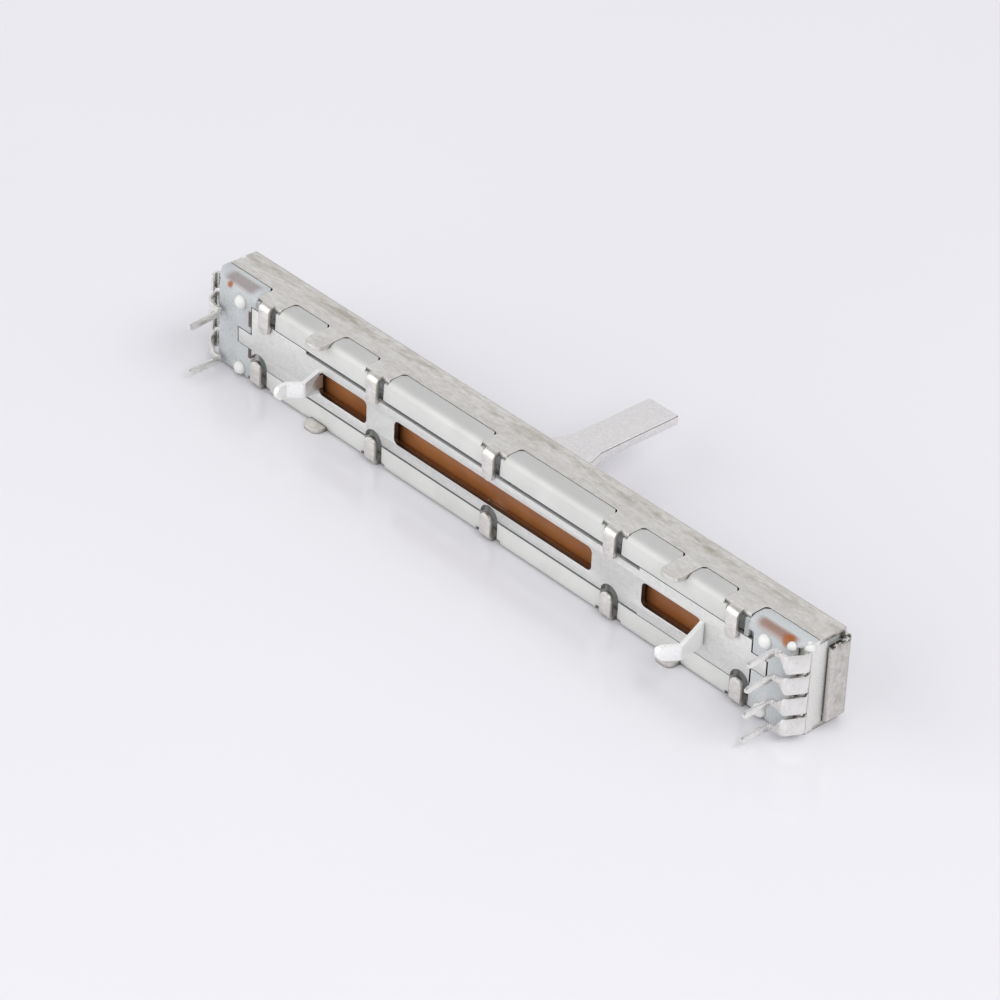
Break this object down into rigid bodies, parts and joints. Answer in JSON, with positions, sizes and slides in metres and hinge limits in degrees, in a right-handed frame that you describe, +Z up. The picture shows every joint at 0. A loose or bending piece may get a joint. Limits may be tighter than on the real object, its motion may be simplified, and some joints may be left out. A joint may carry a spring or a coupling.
{
  "type": "slide potentiometer",
  "caption": "Slim dual-gang slide potentiometer: folded steel cover round moulded frame and resistor board, flat steel lever, solder pins at both ends.",
  "frame": {"origin": "centre of the outer face of the lower side wall, midway along the body and midway through its depth", "axes": "+X along the body and its travel, towards the end with the full row of pins; +Y the way the lever points, out of the mounting face; +Z up, from the side wall it lies on to the other one"},
  "size_m": [0.088, 0.0296, 0.0106],
  "materials": {
    "cover_steel": "satin tin plate",
    "plate_steel": "smooth bright plate",
    "lever_steel": "fine matt plate",
    "rod_steel": "ground",
    "housing_plastic": "satin moulding",
    "end_block_plastic": "milky, slightly translucent",
    "board_phenolic": "semi-matt laminate",
    "resistive_ink": "carbon film",
    "collector_ink": "silver print",
    "terminal_tin": "bright tin plate over brass",
    "eyelet_brass": "tinned",
    "carriage_plastic": "self-lubricating moulding",
    "spring_bronze": "rolled spring bronze"
  },
  "bodies": {
    "body": {"bottom_plate": "plate_steel", "collector_track_1": "collector_ink", "collector_track_2": "collector_ink", "cover": "cover_steel", "eyelets": "eyelet_brass", "guide_rod_1": "rod_steel", "guide_rod_2": "rod_steel", "housing": "housing_plastic", "left_end_block": "end_block_plastic", "resistive_track_1": "resistive_ink", "resistive_track_2": "resistive_ink", "resistor_board": "board_phenolic", "right_end_block": "end_block_plastic", "terminal_left_1": "terminal_tin", "terminal_left_2": "terminal_tin", "terminal_left_3": "terminal_tin", "terminal_left_4": "terminal_tin", "terminal_right_1": "terminal_tin", "terminal_right_2": "terminal_tin", "terminal_right_3": "terminal_tin", "terminal_right_4": "terminal_tin"},
    "slider": {"slider_carriage": "carriage_plastic", "lever": "lever_steel", "wiper_1": "spring_bronze", "wiper_2": "spring_bronze", "leaf_spring_1": "spring_bronze", "leaf_spring_2": "spring_bronze"}
  },
  "joints": [
    {"name": "lever_slide", "type": "slide", "parent": "body", "child": "slider", "axis": [1, 0, 0], "range_m": [-0.03, 0.03]}
  ]
}
